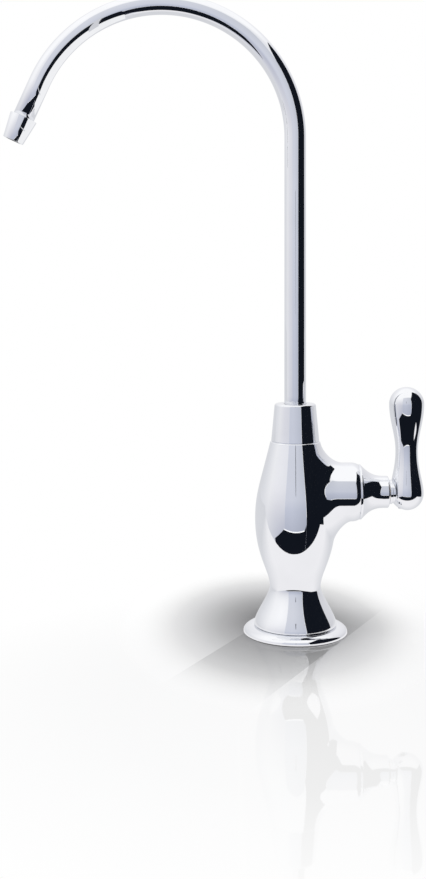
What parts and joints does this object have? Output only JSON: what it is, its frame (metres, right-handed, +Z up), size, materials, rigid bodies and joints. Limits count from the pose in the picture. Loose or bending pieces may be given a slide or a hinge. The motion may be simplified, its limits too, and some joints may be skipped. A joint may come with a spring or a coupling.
{
  "type": "drinking water faucet",
  "caption": "Chrome gooseneck drinking water faucet with a vase-shaped body, a swivelling spout, a side lever on a ceramic quarter-turn valve, and a threaded deck shank.",
  "frame": {"origin": "on the body's vertical axis at the deck surface, which is the underside of the deck gasket", "axes": "+Z up along the body and spout post, -X towards the spout's outlet, +X along the valve towards the lever, and the user stands at -Y"},
  "size_m": [0.1841, 0.0452, 0.3567],
  "materials": {
    "body_chrome": "polished chrome plate on a cast brass body",
    "plate_chrome": "polished chrome plate on a pressed sheet plate",
    "collar_chrome": "polished chrome plate on a turned collar",
    "bonnet_chrome": "polished chrome plate on a turned bonnet",
    "lever_chrome": "polished chrome plate on a cast lever",
    "spout_chrome": "polished chrome plate on a bent tube and its turned tip",
    "black_rubber": "matt black rubber",
    "seal_rubber": "black nitrile rubber with a slight sheen",
    "plain_brass": "turned brass",
    "zinc_steel": "zinc-plated steel",
    "spring_steel": "plain stainless steel",
    "white_acetal": "moulded white plastic",
    "grey_acetal": "moulded grey plastic",
    "nylon": "natural low-friction plastic",
    "ceramic": "lapped alumina ceramic"
  },
  "bodies": {
    "faucet": {"body_casting": "body_chrome", "base_plate": "plate_chrome", "deck_gasket": "black_rubber", "threaded_shank": "plain_brass", "deck_washer": "black_rubber", "clamp_washer": "zinc_steel", "lock_washer": "zinc_steel", "mounting_nut": "zinc_steel", "connector_body": "white_acetal", "connector_washer": "seal_rubber", "connector_o_ring": "seal_rubber", "collar": "collar_chrome", "slip_washer": "nylon", "seat_seal": "seal_rubber", "fixed_disc": "ceramic", "stem_washer": "nylon", "cartridge_housing": "plain_brass", "cartridge_o_ring": "seal_rubber", "bonnet": "bonnet_chrome"},
    "spout": {"spout_tube": "spout_chrome", "spout_tip": "spout_chrome", "spout_bushing": "plain_brass", "spout_o_ring_upper": "seal_rubber", "spout_o_ring_lower": "seal_rubber"},
    "handle": {"lever": "lever_chrome", "lever_screw": "spring_steel", "cartridge_stem": "plain_brass", "moving_disc": "ceramic", "stem_o_rings": "seal_rubber", "retaining_clip": "spring_steel"},
    "collet": {"connector_collet": "grey_acetal"}
  },
  "joints": [
    {"name": "spout_swivel", "type": "hinge", "parent": "faucet", "child": "spout", "pos_m": [0, 0, 0.0834], "axis": [0, 0, 1], "continuous": true},
    {"name": "handle_turn", "type": "hinge", "parent": "faucet", "child": "handle", "pos_m": [0.0488, 0, 0.0612], "axis": [1, 0, 0], "range_deg": [0, 90]},
    {"name": "collet_release", "type": "slide", "parent": "faucet", "child": "collet", "axis": [0, 0, 1], "range_m": [0, 0.0012]}
  ]
}
